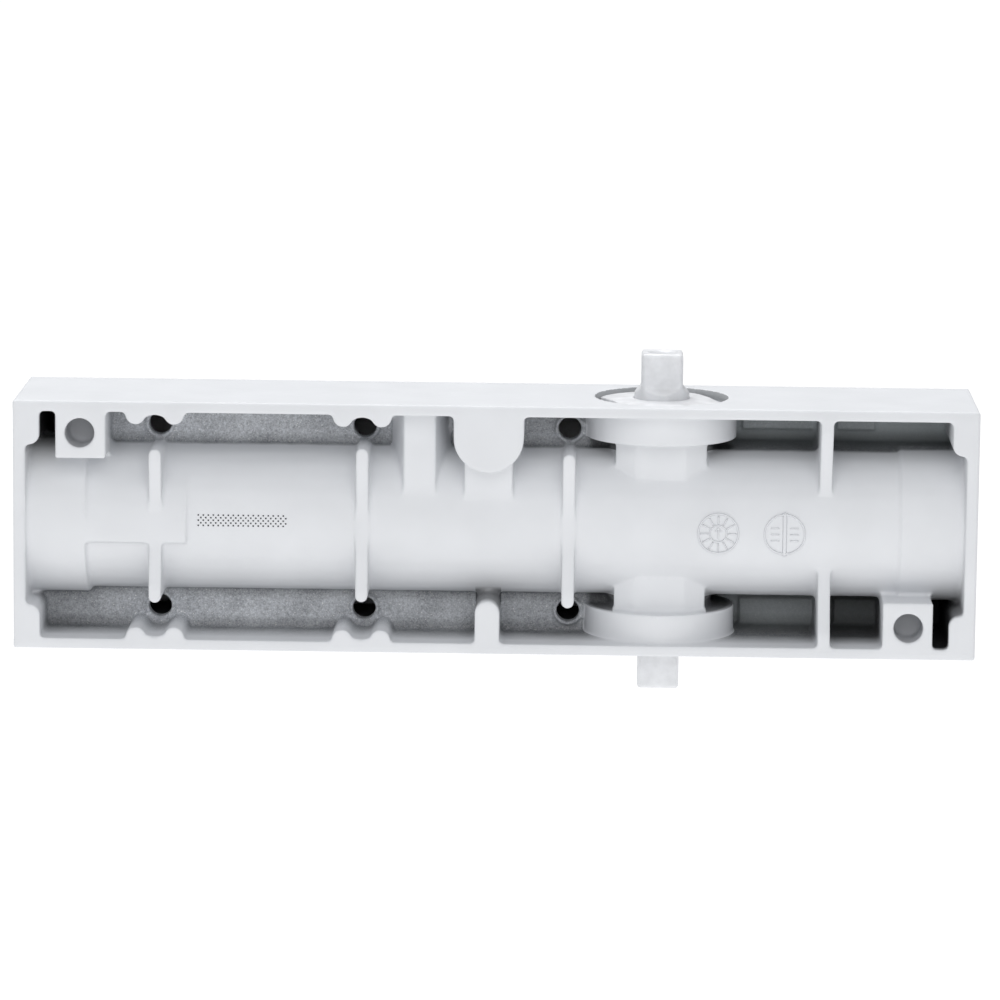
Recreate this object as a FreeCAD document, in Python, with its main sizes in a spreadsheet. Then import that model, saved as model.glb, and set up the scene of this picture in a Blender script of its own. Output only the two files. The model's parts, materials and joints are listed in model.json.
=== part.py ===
import FreeCAD, Part
import math
import os
import re

import Sketcher

# Surface-mounted rack-and-pinion door closer body, without its arm.
#
# Frame, in millimetres: the origin is on the cylinder's axis, midway along the body.
# +X runs along the cylinder from the spring end to the pinion end, +Y points away from
# the door towards the room, and +Z points up along the pinion spindle.
# The open rear of the casting, which meets the door, is the plane y = -body_depth / 2.

Vector = FreeCAD.Vector

DIMENSIONS = [
    # whole body
    ("body_length", 230.0, "along X"),
    ("body_depth", 41.0, "along Y, rear plane to cover face"),
    ("body_height", 60.0, "along Z"),
    ("long_wall", 2.6, "top and bottom wall"),
    ("end_wall", 3.0, "left and right wall"),
    # cylinder
    ("bore_radius", 15.0, "piston bore"),
    ("tube_radius", 18.0, "outside of the cylinder"),
    ("left_collar_radius", 19.2, "thicker left end round the plug thread"),
    ("right_collar_radius", 18.6, "thicker right end round the plug thread"),
    ("left_collar_end", -97.9, "x where the left collar stops"),
    ("right_collar_end", 97.0, "x where the right collar stops"),
    ("tongue_shift", -0.9, "y and z shift of the raised tongue beside the left collar"),
    ("tongue_edge", -4.3, "z of the tongue's lower edge"),
    ("tongue_end", -73.8, "x of the tongue's right end"),
    # cored pockets
    ("web_rear", -2.0, "y of the web's rear face"),
    ("web_front", 1.0, "y of the web's front face"),
    ("skin_rear", 11.5, "y of the deep pockets' floor"),
    ("cover_seat", 18.3, "y of the ledge under the front cover"),
    ("front_core_half", 25.0, "half height of the front pockets"),
    ("front_core_left", -109.0, "left end of the front pockets"),
    ("divider_half", 1.5, "half thickness of the wall behind the hub"),
    ("panel_height", 1.3, "raised panels on the deep pockets' floors"),
    ("panel_low", 20.8, "|z| of the panels' inner edge"),
    ("panel_high", 26.9, "|z| of the panels' outer edge"),
    ("wide_panel_left", 59.4, "x of the wide panel"),
    ("wide_panel_right", 76.2, "x of the wide panel"),
    ("small_panel_left", 82.4, "x of the small panel"),
    ("small_panel_right", 91.6, "x of the small panel"),
    # six fixing holes
    ("hole_column_one", -81.1, "x of the first column of fixing holes"),
    ("hole_column_two", -31.7, "x of the second column"),
    ("hole_column_three", 17.6, "x of the third column"),
    ("hole_row", 22.3, "z of the fixing holes"),
    ("hole_radius", 2.75, "clearance for an M5 screw"),
    ("rim_radius", 3.5, "raised rim round a fixing hole"),
    ("rim_height", 1.1, "height of that rim"),
    # screw channels beside the first two columns
    ("channel_crest_radius", 2.4, "each half-round crest"),
    ("channel_crest_offset", 4.6, "crest from the hole's centre"),
    ("channel_crest_height", 26.9, "z of a crest's centre"),
    ("channel_valley", 4.5, "radius of the valley between two crests, round the hole"),
    # ribs
    ("rib_half", 1.5, "half thickness of a rib"),
    ("rib_reach", 18.6, "half height of a rib over the tube"),
    ("rib_dip_radius", 58.0, "hollow of the ribs' rear faces, about X"),
    ("rib_crown", -18.4, "y of a rib where it crosses the tube's crown"),
    ("rib_wall_x", 78.85, "full-height wall between the deep pockets"),
    ("rib_wall_crown", -15.2, "y where that wall dips under the tube's crown"),
    ("middle_rib_shift", 0.8, "z shift of the middle rib"),
    # lugs and corner blocks
    ("lug_inner", 92.8, "|x| of a lug's inner side"),
    ("lug_outer", 104.8, "|x| of a lug's outer side"),
    ("lug_edge", 16.2, "|z| of a lug's free edge"),
    ("lug_hole_x", 99.0, "|x| of the locating hole"),
    ("lug_hole_radius", 3.5, "locating hole"),
    ("lug_hole_depth", 9.0, "locating hole"),
    ("corner_inner", 108.6, "|x| of the corner blocks"),
    ("corner_edge", 19.3, "|z| where the corner blocks start"),
    ("corner_round", 2.6, "round of a corner block's free corner"),
    # pinion hub
    ("spindle_x", 39.6, "spindle axis"),
    ("flange_radius", 18.15, "hub flange under the walls"),
    ("flange_edge", 20.4, "|z| of the flange's free face"),
    ("neck_radius", 12.5, "hub neck between flange and tube"),
    ("neck_half", 10.9, "half width of the faceted block on the neck's rear"),
    ("neck_face_half", 5.75, "half width of its middle facet"),
    ("neck_face", -13.7, "y of its middle facet"),
    ("neck_shoulder", -11.0, "y where its slanting facets meet its sides"),
    ("hub_bore", 10.75, "seat of the needle bearings"),
    ("nut_seat", 23.5, "|z| of the bearing nut's inner face"),
    ("nut_radius", 15.5, "bearing nut thread"),
    ("nut_face", 29.0, "|z| of the bearing nut's outer edge"),
    ("nut_crown", 29.8, "|z| of the bearing nut's face beside the spindle"),
    ("nut_flat", 12.3, "spindle axis to each spanner flat of a bearing nut"),
    ("nut_flat_depth", 2.5, "height of those flats"),
    ("nut_turn", 20.0, "degrees the flats are turned from X"),
    ("recess_radius", 16.0, "round recess in the top and bottom wall"),
    # valve columns and pads
    ("column_x", -18.15, "axis of the closing valve column"),
    ("column_face", -16.3, "y of its flat face"),
    ("column_face_half", 3.75, "half width of that face"),
    ("column_foot_half", 7.15, "half width at the web"),
    ("pad_x", -1.6, "axis of the latching valve pad"),
    ("pad_radius", 8.4, "its round lower end"),
    ("pad_neck_half", 5.8, "half width of the flat-faced column under the pad"),
    ("pad_neck_face", -16.8, "y of that column's face"),
    ("tab_half", 2.95, "half width of the lower tab"),
    ("tab_top", -20.1, "z of the centre of the tab's round top"),
    ("valve_row", 22.3, "z of both valve axes"),
    ("valve_bore", 3.6, "radius of a valve bore"),
    ("valve_boss", 6.2, "radius of a valve's front boss"),
    ("valve_floor", -8.0, "y of a valve bore's floor"),
    ("drilling_radius", 1.2, "oil drillings between valve and cylinder"),
    # end plugs
    ("plug_radius", 16.5, "thread of the end plugs"),
    ("plug_outer", 114.0, "|x| of an end plug's outer face"),
    ("plug_inner", 99.0, "|x| of an end plug's inner face"),
    # front cover
    ("cover_gap", 0.2, "between the cover and the walls"),
    ("cover_thickness", 2.0, "front cover plate"),
    ("peg_x", 98.0, "|x| of the cover's pegs"),
    ("peg_z", 21.3, "|z| of the cover's pegs"),
    ("peg_radius", 1.9, "cover peg"),
    ("peg_length", 2.8, "cover peg"),
    ("socket_radius", 2.7, "socket of a cover bush"),
    ("socket_boss", 4.5, "radius of the boss round a socket in the core"),
    ("socket_depth", 3.4, "socket of a cover bush"),
    # spindle
    ("square_side", 10.0, "driving squares"),
    ("spindle_reach", 40.8, "|z| of the spindle ends"),
    ("neck_shaft_radius", 6.6, "spindle where it leaves the body"),
    ("journal_radius", 7.6, "spindle in the needle bearings"),
    ("journal_end", 20.6, "|z| of the journals' outer shoulder"),
    ("gear_module", 1.5, "rack and pinion"),
    ("gear_teeth", 12, "pinion teeth"),
    ("gear_half", 8.0, "half face width"),
    # piston at rest, door closed
    ("piston_radius", 14.96, "running fit in the bore"),
    ("piston_left", 14.0, "x of the spring face"),
    ("piston_right", 92.3, "x of the oil face"),
    ("window_left", 28.6, "x of the pinion window"),
    ("window_right", 79.7, "x of the pinion window"),
    ("window_half", 11.2, "half width of the pinion window"),
    ("piston_valve_bore", 4.0, "radius of the valve bores in the piston"),
    # spring and adjuster
    ("wire_radius", 2.5, "main spring wire"),
    ("coil_radius", 12.2, "main spring, to the wire's centre"),
    ("coil_count", 9.5, "main spring turns"),
    ("seat_left", -86.0, "x of the spring seat's back"),
    ("seat_right", -80.0, "x of the face the spring rests on"),
    ("seat_radius", 14.6, "spring seat"),
    ("screw_radius", 4.0, "adjusting screw"),
]

doc = FreeCAD.newDocument("door_closer")
sheet = doc.addObject("Spreadsheet::Sheet", "Sheet")
for row, (alias, value, note) in enumerate(DIMENSIONS, start=1):
    sheet.set(f"A{row}", alias)
    sheet.set(f"B{row}", str(value))
    sheet.set(f"C{row}", note)
    sheet.setAlias(f"B{row}", alias)
doc.recompute()

ALIASES = {alias for alias, value, note in DIMENSIONS}
ROTATIONS = {
    "x": FreeCAD.Rotation(Vector(0, 1, 0), 90),
    "y": FreeCAD.Rotation(Vector(1, 0, 0), -90),
    "z": FreeCAD.Rotation(),
}
NODES = {}


def cells(formula):
    """The formula with each alias written as its cell in the sheet."""

    def cell(found):
        return f"Sheet.{found[0]}" if found[0] in ALIASES else found[0]

    return re.sub(r"[a-z_]+", cell, str(formula))


def bind(item, prop, formula):
    """Tie a property to a formula of the sheet's aliases."""
    item.setExpression(prop, cells(formula))


def size(formula):
    """The present value of a formula, for geometry that has no properties to bind."""
    return float(sheet.evalExpression(cells(formula)))


def node(label, item):
    """Register a finished sub-part under its node name."""
    item.Label = label
    NODES[label] = item
    return item


def box(name, x, y, z):
    """A box between (low, high) formulas along each axis."""
    item = doc.addObject("Part::Box", name)
    for prop, axis, (low, high) in zip(("Length", "Width", "Height"), "xyz", (x, y, z)):
        bind(item, prop, f"({high}) - ({low})")
        bind(item, f"Placement.Base.{axis}", low)
    return item


def drafted(name, face, foot, y, z):
    """A block that widens along Y, from one span of X at its face to another at its foot."""
    item = doc.addObject("Part::Wedge", name)
    spans = {"X": face, "X2": foot, "Y": y, "Z": z, "Z2": z}
    for letters, (low, high) in spans.items():
        bind(item, f"{letters}min", low)
        bind(item, f"{letters}max", high)
    return item


def along(item, axis, start, centre):
    """Lay a primitive that grows along its own Z on an axis, from start."""
    item.Placement = FreeCAD.Placement(Vector(), ROTATIONS[axis])
    others = [letter for letter in "xyz" if letter != axis]
    bind(item, f"Placement.Base.{axis}", start)
    for letter, place in zip(others, centre):
        bind(item, f"Placement.Base.{letter}", place)
    return item


def rod(name, axis, radius, span, centre=(0, 0)):
    """A round bar along an axis over span; centre gives the other two coordinates."""
    item = doc.addObject("Part::Cylinder", name)
    bind(item, "Radius", radius)
    bind(item, "Height", f"({span[1]}) - ({span[0]})")
    return along(item, axis, span[0], centre)


def cone(name, axis, radii, span, centre=(0, 0)):
    """A cone frustum along an axis, radii at the start and the end of span."""
    item = doc.addObject("Part::Cone", name)
    bind(item, "Radius1", radii[0])
    bind(item, "Radius2", radii[1])
    bind(item, "Height", f"({span[1]}) - ({span[0]})")
    return along(item, axis, span[0], centre)


def torus(name, axis, ring_radius, section_radius, place, centre=(0, 0)):
    """An O-ring round an axis."""
    item = doc.addObject("Part::Torus", name)
    bind(item, "Radius1", ring_radius)
    bind(item, "Radius2", section_radius)
    return along(item, axis, place, centre)


def prism(name, axis, across_flats, span, centre=(0, 0)):
    """A hexagonal bar along an axis."""
    item = doc.addObject("Part::Prism", name)
    item.Polygon = 6
    bind(item, "Circumradius", f"({across_flats}) / sqrt(3)")
    bind(item, "Height", f"({span[1]}) - ({span[0]})")
    return along(item, axis, span[0], centre)


def fuse(name, items):
    item = doc.addObject("Part::MultiFuse", name)
    item.Shapes = items
    item.Refine = True
    return item


def cut(name, base, tools):
    item = doc.addObject("Part::Cut", name)
    item.Base = base
    item.Tool = tools[0] if len(tools) == 1 else fuse(f"{name}_tools", tools)
    item.Refine = True
    return item


def common(name, items):
    item = doc.addObject("Part::MultiCommon", name)
    item.Shapes = items
    return item


def group(name, items):
    """Separate solids kept in one node."""
    item = doc.addObject("Part::Compound", name)
    item.Links = items
    return item


def origin_plane(body, role):
    return next(f for f in body.Origin.OriginFeatures if f.Role == role)


def sketch_on(body, name, role):
    sketch = body.newObject("Sketcher::SketchObject", name)
    sketch.AttachmentSupport = (origin_plane(body, role), [""])
    sketch.MapMode = "FlatFace"
    return sketch


def pin_point(sketch, edge, across, up):
    """Hold the start of a sketch edge at (across, up), formulas of the sheet."""
    for kind, axis_line, formula in (("DistanceX", -2, across), ("DistanceY", -1, up)):
        value = size(formula)
        if abs(value) < 1e-9:
            sketch.addConstraint(Sketcher.Constraint("PointOnObject", edge, 1, axis_line))
            continue
        place = sketch.addConstraint(Sketcher.Constraint(kind, -1, 1, edge, 1, value))
        sketch.setExpression(f"Constraints[{place}]", cells(formula))


def closed_outline(sketch, points):
    """A closed polygon through points, each a pair of formulas."""
    places = [Vector(size(across), size(up), 0) for across, up in points]
    count = len(points)
    for index, place in enumerate(places):
        sketch.addGeometry(Part.LineSegment(place, places[(index + 1) % count]), False)
    for index in range(count):
        following = (index + 1) % count
        sketch.addConstraint(Sketcher.Constraint("Coincident", index, 2, following, 1))
    for index, (across, up) in enumerate(points):
        pin_point(sketch, index, across, up)


def turned(name, outline, axis="z", centre=(0, 0)):
    """A lathe-turned piece: its half section as (radius, distance along) corners."""
    body = doc.addObject("PartDesign::Body", name)
    section = sketch_on(body, f"{name}_section", "XZ_Plane")
    closed_outline(section, outline)
    turn = body.newObject("PartDesign::Revolution", f"{name}_turn")
    turn.Profile = section
    turn.ReferenceAxis = (section, ["V_Axis"])
    turn.Angle = 360
    body.Tip = turn
    return along(body, axis, 0, centre)


def ring(name, axis, radii, span, centre=(0, 0)):
    """A plain ring or washer between two radii."""
    inner, outer = radii
    low, high = span
    outline = [(inner, low), (outer, low), (outer, high), (inner, high)]
    return turned(name, outline, axis, centre)


def shape_item(name, shape):
    """A solid whose outline no feature draws, such as gear teeth."""
    item = doc.addObject("Part::Feature", name)
    item.Shape = shape
    return item


# ---------------------------------------------------------------- body casting

FAR = "body_length / 2"
REAR = "-body_depth / 2"
FRONT = "body_depth / 2"
TOP = "body_height / 2"
WALL_Z = "body_height / 2 - long_wall"
WALL_X = "body_length / 2 - end_wall"
COLUMNS = ["hole_column_one", "hole_column_two", "hole_column_three"]
SIDES = {"upper": "", "lower": "-"}


def mirrored(low, high, sign):
    """The span low..high, or its mirror image when sign is a minus."""
    return (f"-({high})", f"-({low})") if sign else (low, high)


def casting_shell():
    """Outer box, cored from the rear and from the front with a web between."""
    outer = box("outer", (f"-{FAR}", FAR), (REAR, FRONT), (f"-{TOP}", TOP))
    divider_left = "spindle_x - divider_half"
    divider_right = "spindle_x + divider_half"
    inside_z = (f"-({WALL_Z})", WALL_Z)
    core_z = ("-front_core_half", "front_core_half")
    rear_left = box("rear_left", (f"-({WALL_X})", divider_right), (REAR, "web_rear"), inside_z)
    rear_right = box("rear_right", (divider_right, WALL_X), (REAR, "skin_rear"), inside_z)
    front = box("front_core", ("front_core_left", divider_left), ("web_front", FRONT), core_z)
    return cut("shell", outer, [rear_left, rear_right, front])


def tube_parts():
    """The cylinder, its end collars, a flat-sided saddle and a tongue by the left collar."""
    tube = rod("tube", "x", "tube_radius", (f"-{FAR}", FAR))
    left = rod("left_collar", "x", "left_collar_radius", (f"-{FAR}", "left_collar_end"))
    right = rod("right_collar", "x", "right_collar_radius", ("right_collar_end", FAR))
    half = ("-tube_radius", "tube_radius")
    saddle = box("saddle", ("spindle_x", WALL_X), ("0", "cover_seat"), half)
    span = ("left_collar_end", "tongue_end")
    shifted = rod("tongue_round", "x", "tube_radius", span, ("tongue_shift", "tongue_shift"))
    window = box("tongue_window", span, (REAR, "0"), ("tongue_edge", "tube_radius"))
    return [tube, left, right, saddle, common("tongue", [shifted, window])]


def ribs():
    """Round-ended ribs over the tube in line with the fixing holes, and a full wall.

    Their rear faces are flush with the walls at the ends and hollow towards the tube.
    """
    items = []
    for index, (column, shift) in enumerate(zip(COLUMNS, ("0", "middle_rib_shift", "0"))):
        across = (f"{column} - rib_half", f"{column} + rib_half")
        straight = (f"{shift} - (rib_reach - rib_half)", f"{shift} + rib_reach - rib_half")
        items.append(box(f"rib_{index}", across, (REAR, "web_rear"), straight))
        for name, height in zip(SIDES, reversed(straight)):
            end = f"rib_end_{name}_{index}"
            items.append(rod(end, "y", "rib_half", (REAR, "web_rear"), (column, height)))
    centre = ("rib_crown - rib_dip_radius", "0")
    dip = rod("rib_dip", "x", "rib_dip_radius", (f"-{FAR}", FAR), centre)
    across = ("rib_wall_x - rib_half", "rib_wall_x + rib_half")
    wall = box("rib_wall_block", across, (REAR, "skin_rear"), (f"-({WALL_Z})", WALL_Z))
    centre = ("rib_wall_crown - rib_dip_radius", "0")
    wall_dip = rod("rib_wall_dip", "x", "rib_dip_radius", across, centre)
    return [cut("ribs", fuse("rib_set", items), [dip]), cut("rib_wall", wall, [wall_dip])]


def screw_channels():
    """Two half-round crests with a valley between them, beside four fixing holes."""
    items = []
    depth = (REAR, "web_rear")
    for index, column in enumerate(COLUMNS[:2]):
        for name, sign in SIDES.items():
            for side, step in (("left", "-"), ("right", "+")):
                centre = (f"{column} {step} channel_crest_offset", f"{sign}channel_crest_height")
                crest = f"crest_{name}_{side}_{index}"
                items.append(rod(crest, "y", "channel_crest_radius", depth, centre))
            across = (f"{column} - channel_crest_offset", f"{column} + channel_crest_offset")
            tall = mirrored("channel_crest_height - channel_crest_radius", WALL_Z, sign)
            bridge = box(f"bridge_{name}_{index}", across, depth, tall)
            hole = (column, f"{sign}hole_row")
            hollow = rod(f"hollow_{name}_{index}", "y", "channel_valley", depth, hole)
            items.append(cut(f"valley_{name}_{index}", bridge, [hollow]))
    return items


def hole_rims():
    """A low raised rim round each fixing hole."""
    span = ("web_rear - rim_height", "web_rear")
    return [
        rod(f"rim_{name}_{index}", "y", "rim_radius", span, (column, f"{sign}hole_row"))
        for index, column in enumerate(COLUMNS)
        for name, sign in SIDES.items()
    ]


def lugs():
    """The two diagonal locating lugs, flush with the rear plane."""
    left = box(
        "left_lug", ("-lug_outer", "-lug_inner"), (REAR, "web_rear"), ("lug_edge", WALL_Z)
    )
    right = box(
        "right_lug", ("lug_inner", "lug_outer"), (REAR, "skin_rear"), (f"-({WALL_Z})", "-lug_edge")
    )
    return [left, right]


def corner_blocks():
    """Thickened inner corners, each with a rounded free corner next to the collar."""
    items = []
    for name, sign in SIDES.items():
        for side, flip in (("left", "-"), ("right", "")):
            floor = "web_rear" if flip else "skin_rear"
            tall = mirrored("corner_edge + corner_round", WALL_Z, sign)
            wide = mirrored("corner_inner", WALL_X, flip)
            items.append(box(f"corner_{name}_{side}", wide, (REAR, floor), tall))
            short = mirrored("corner_edge", "corner_edge + corner_round", sign)
            back = mirrored("corner_inner + corner_round", WALL_X, flip)
            items.append(box(f"corner_foot_{name}_{side}", back, (REAR, floor), short))
            centre = (
                f"{flip}(corner_inner + corner_round)",
                f"{sign}(corner_edge + corner_round)",
            )
            items.append(
                rod(f"corner_round_{name}_{side}", "y", "corner_round", (REAR, floor), centre)
            )
    return items


def hub_parts():
    """Flange and faceted neck round the spindle, above and below the tube, and a divider."""
    items = []
    centre = ("spindle_x", 0)
    face = ("spindle_x - neck_face_half", "spindle_x + neck_face_half")
    block = ("spindle_x - neck_half", "spindle_x + neck_half")
    for name, sign in SIDES.items():
        flange = mirrored("flange_edge", WALL_Z, sign)
        neck = mirrored("0", "flange_edge", sign)
        items.append(rod(f"flange_{name}", "z", "flange_radius", flange, centre))
        items.append(rod(f"neck_{name}", "z", "neck_radius", neck, centre))
        items.append(box(f"neck_block_{name}", block, ("neck_shoulder", "0"), neck))
        slant = ("neck_face", "neck_shoulder")
        items.append(drafted(f"neck_facets_{name}", face, block, slant, neck))
    across = ("spindle_x - divider_half", "spindle_x + divider_half")
    depth = ("web_rear", "cover_seat")
    items.append(box("divider", across, depth, (f"-({WALL_Z})", WALL_Z)))
    return items


def valve_columns():
    """The closing valve's column, the latching valve's flush pad, the tab and the bosses."""
    face = ("column_x - column_face_half", "column_x + column_face_half")
    foot = ("column_x - column_foot_half", "column_x + column_foot_half")
    column = drafted("column", face, foot, ("column_face", "web_rear"), ("0", WALL_Z))

    depth = (REAR, "web_rear")
    pad = rod("pad", "y", "pad_radius", depth, ("pad_x", "valve_row"))
    across = ("pad_x - pad_radius", "pad_x + pad_radius")
    pad_top = box("pad_top", across, depth, ("valve_row", WALL_Z))
    across = ("pad_x - pad_neck_half", "pad_x + pad_neck_half")
    neck = box("pad_neck", across, ("pad_neck_face", "web_rear"), ("0", "valve_row"))

    tab_top = rod("tab_top", "y", "tab_half", depth, ("pad_x", "tab_top"))
    across = ("pad_x - tab_half", "pad_x + tab_half")
    tab = box("tab", across, depth, (f"-({WALL_Z})", "tab_top"))

    front = ("web_rear", "cover_seat - 0.5")
    bosses = [
        rod(f"boss_{name}", "y", "valve_boss", front, (x, "valve_row"))
        for name, x in (("closing", "column_x"), ("latching", "pad_x"))
    ]
    return [column, pad, pad_top, neck, tab_top, tab] + bosses


def pocket_panels():
    """Low raised panels on the floors of the deep pockets, and the peg socket bosses."""
    depth = ("skin_rear - panel_height", "skin_rear")
    items = []
    for name, sign in SIDES.items():
        tall = mirrored("panel_low", "panel_high", sign)
        for kind in ("wide", "small"):
            across = (f"{kind}_panel_left", f"{kind}_panel_right")
            items.append(box(f"{kind}_panel_{name}", across, depth, tall))
        boss = ("web_front", "cover_seat")
        centre = ("-peg_x", f"{sign}peg_z")
        items.append(rod(f"socket_boss_{name}", "y", "socket_boss", boss, centre))
    return items


def casting_cuts():
    """Bores, threads, holes, drillings and the cover's recess."""
    inside_x = (f"-({WALL_X})", WALL_X)
    cuts = [
        box("cover_recess", inside_x, ("cover_seat", FRONT), (f"-({WALL_Z})", WALL_Z)),
        box("pad_trim", inside_x, (REAR, FRONT), (TOP, f"{TOP} + 2")),
        rod("bore", "x", "bore_radius", (f"-{FAR}", FAR)),
        rod("left_thread", "x", "plug_radius", (f"-{FAR}", "-plug_inner")),
        rod("right_thread", "x", "plug_radius", ("plug_inner", FAR)),
        rod("hub_bore_cut", "z", "hub_bore", ("-nut_seat", "nut_seat"), ("spindle_x", 0)),
        box(
            "deep_slot",
            ("-corner_inner", "-lug_outer"),
            (REAR, "web_front"),
            ("corner_edge + 0.4", WALL_Z),
        ),
    ]
    for name, sign in SIDES.items():
        centre = ("spindle_x", 0)
        thread = mirrored("nut_seat", "nut_face", sign)
        recess = mirrored("nut_face", TOP, sign)
        cuts.append(rod(f"nut_thread_{name}", "z", "nut_radius", thread, centre))
        cuts.append(rod(f"recess_{name}", "z", "recess_radius", recess, centre))
        for index, column in enumerate(COLUMNS):
            hole = ("web_rear - rim_height", "web_front")
            place = (column, f"{sign}hole_row")
            cuts.append(rod(f"fixing_hole_{name}_{index}", "y", "hole_radius", hole, place))
        for side, flip in (("left", "-"), ("right", "")):
            socket = ("cover_seat - socket_depth", "cover_seat")
            place = (f"{flip}peg_x", f"{sign}peg_z")
            cuts.append(rod(f"socket_{name}_{side}", "y", "socket_radius", socket, place))
        light = ("skin_rear + 3", "cover_seat")
        tall = mirrored("tube_radius + 0.8", "front_core_half", sign)
        cuts.append(box(f"front_pocket_{name}", ("44", "92"), light, tall))
    for side, flip, sign in (("left", "-", ""), ("right", "", "-")):
        hole = (REAR, f"{REAR} + lug_hole_depth")
        place = (f"{flip}lug_hole_x", f"{sign}hole_row")
        cuts.append(rod(f"lug_hole_{side}", "y", "lug_hole_radius", hole, place))
    for name, x in (("closing", "column_x"), ("latching", "pad_x")):
        valve = ("valve_floor", "cover_seat")
        cuts.append(rod(f"valve_bore_{name}", "y", "valve_bore", valve, (x, "valve_row")))
        for side, y in (("inner", "valve_floor + 2"), ("outer", "6")):
            drill = ("bore_radius - 3", "valve_row")
            cuts.append(rod(f"drilling_{name}_{side}", "z", "drilling_radius", drill, (x, y)))
    return cuts


def body_casting():
    solids = [casting_shell()]
    for features in (
        tube_parts,
        ribs,
        screw_channels,
        hole_rims,
        lugs,
        corner_blocks,
        hub_parts,
        valve_columns,
        pocket_panels,
    ):
        solids += features()
    blank = fuse("casting_blank", solids)
    node("body_casting", cut("casting", blank, casting_cuts()))


# ---------------------------------------------------------------- front cover


def cover_outline(body):
    """The cover plate as a padded rectangle with its edges softened."""
    sketch = sketch_on(body, "cover_outline", "XZ_Plane")
    half_x = f"{WALL_X} - cover_gap"
    half_z = f"{WALL_Z} - cover_gap"
    corners = [
        (f"-({half_x})", f"-({half_z})"),
        (half_x, f"-({half_z})"),
        (half_x, half_z),
        (f"-({half_x})", half_z),
    ]
    closed_outline(sketch, corners)
    plate = body.newObject("PartDesign::Pad", "cover_plate")
    plate.Profile = sketch
    plate.Reversed = True
    bind(plate, "Length", "cover_thickness")
    doc.recompute()
    front = [
        f"Edge{index}"
        for index, edge in enumerate(plate.Shape.Edges, start=1)
        if all(v.Point.y > size("cover_thickness") - 1e-6 for v in edge.Vertexes)
    ]
    soft = body.newObject("PartDesign::Fillet", "cover_edge")
    soft.Base = (plate, front)
    soft.Radius = 0.6
    body.Tip = soft
    return body


def front_cover():
    """Snap-in plate that closes the front, with four pegs behind it."""
    plate = cover_outline(doc.addObject("PartDesign::Body", "cover_body"))
    bind(plate, "Placement.Base.y", f"{FRONT} - cover_thickness")
    back = f"{FRONT} - cover_thickness"
    pegs = []
    bushes = []
    for name, sign in SIDES.items():
        for side, flip in (("left", "-"), ("right", "")):
            centre = (f"{flip}peg_x", f"{sign}peg_z")
            span = (f"{back} - peg_length", f"{back} + 0.5")
            pegs.append(rod(f"peg_{name}_{side}", "y", "peg_radius", span, centre))
            low = "cover_seat - socket_depth + 0.1"
            bush = f"bush_{name}_{side}"
            radii = ("peg_radius + 0.02", "socket_radius - 0.02")
            bushes.append(ring(bush, "y", radii, (low, "cover_seat"), centre))
    node("front_cover", fuse("cover", [plate] + pegs))
    node("cover_bushes", group("bushes", bushes))


# ---------------------------------------------------------------- spindle and pinion

PRESSURE_ANGLE = math.radians(20)
RACK_ADDENDUM = 1.0
TIP_CLEARANCE = 0.3
BACKLASH = 0.12


def pitch_radius():
    return size("gear_module * gear_teeth / 2")


def involute_point(base, radius, offset, side):
    """A point on a flank, side +1 or -1, at an angle offset from the tooth's middle."""
    roll = math.sqrt((radius / base) ** 2 - 1)
    angle = offset - (roll - math.atan(roll))
    return radius, side * angle


def pinion_shape():
    """Spur pinion with involute flanks, one tooth pointing along +Y."""
    pitch = pitch_radius()
    base = pitch * math.cos(PRESSURE_ANGLE)
    tip = pitch + size("gear_module")
    root = pitch - RACK_ADDENDUM - TIP_CLEARANCE
    teeth = round(size("gear_teeth"))
    spread = math.tan(PRESSURE_ANGLE) - PRESSURE_ANGLE
    half_tooth = math.pi / (2 * teeth) - BACKLASH / 2 / pitch
    offset = half_tooth + spread
    steps = 5
    radii = [base + (tip - base) * step / steps for step in range(steps + 1)]

    def place(radius, angle):
        return Vector(radius * math.cos(angle), radius * math.sin(angle), 0)

    edges = []
    step_angle = 2 * math.pi / teeth
    for tooth in range(teeth):
        middle = math.pi / 2 + tooth * step_angle
        flanks = {}
        for side in (-1, 1):
            polar = [involute_point(base, radius, offset, side) for radius in radii]
            flanks[side] = [place(radius, middle + angle) for radius, angle in polar]
        foot_right = place(root, middle - offset)
        foot_left = place(root, middle + offset)
        next_foot = place(root, middle + step_angle - offset)
        valley = place(root, middle + step_angle / 2)
        rising = Part.BSplineCurve()
        rising.interpolate(flanks[-1])
        falling = Part.BSplineCurve()
        falling.interpolate(flanks[1][::-1])
        edges += [
            Part.LineSegment(foot_right, flanks[-1][0]).toShape(),
            rising.toShape(),
            Part.Arc(flanks[-1][-1], place(tip, middle), flanks[1][-1]).toShape(),
            falling.toShape(),
            Part.LineSegment(flanks[1][0], foot_left).toShape(),
            Part.Arc(foot_left, valley, next_foot).toShape(),
        ]
    half = size("gear_half")
    gear = Part.Face(Part.Wire(edges)).extrude(Vector(0, 0, 2 * half))
    gear.translate(Vector(size("spindle_x"), 0, -half))
    return gear


def frustum(name, sides, span):
    """A square frustum standing on the spindle axis, sides at the ends of span."""
    item = doc.addObject("Part::Wedge", name)
    for prop, side in (("", sides[0]), ("2", sides[1])):
        for letter in "XZ":
            bind(item, f"{letter}{prop}min", f"-({side}) / 2")
            bind(item, f"{letter}{prop}max", f"({side}) / 2")
    item.Ymin = 0
    bind(item, "Ymax", f"({span[1]}) - ({span[0]})")
    item.Placement = FreeCAD.Placement(Vector(), FreeCAD.Rotation(Vector(1, 0, 0), 90))
    bind(item, "Placement.Base.x", "spindle_x")
    bind(item, "Placement.Base.z", span[0])
    return item


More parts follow.
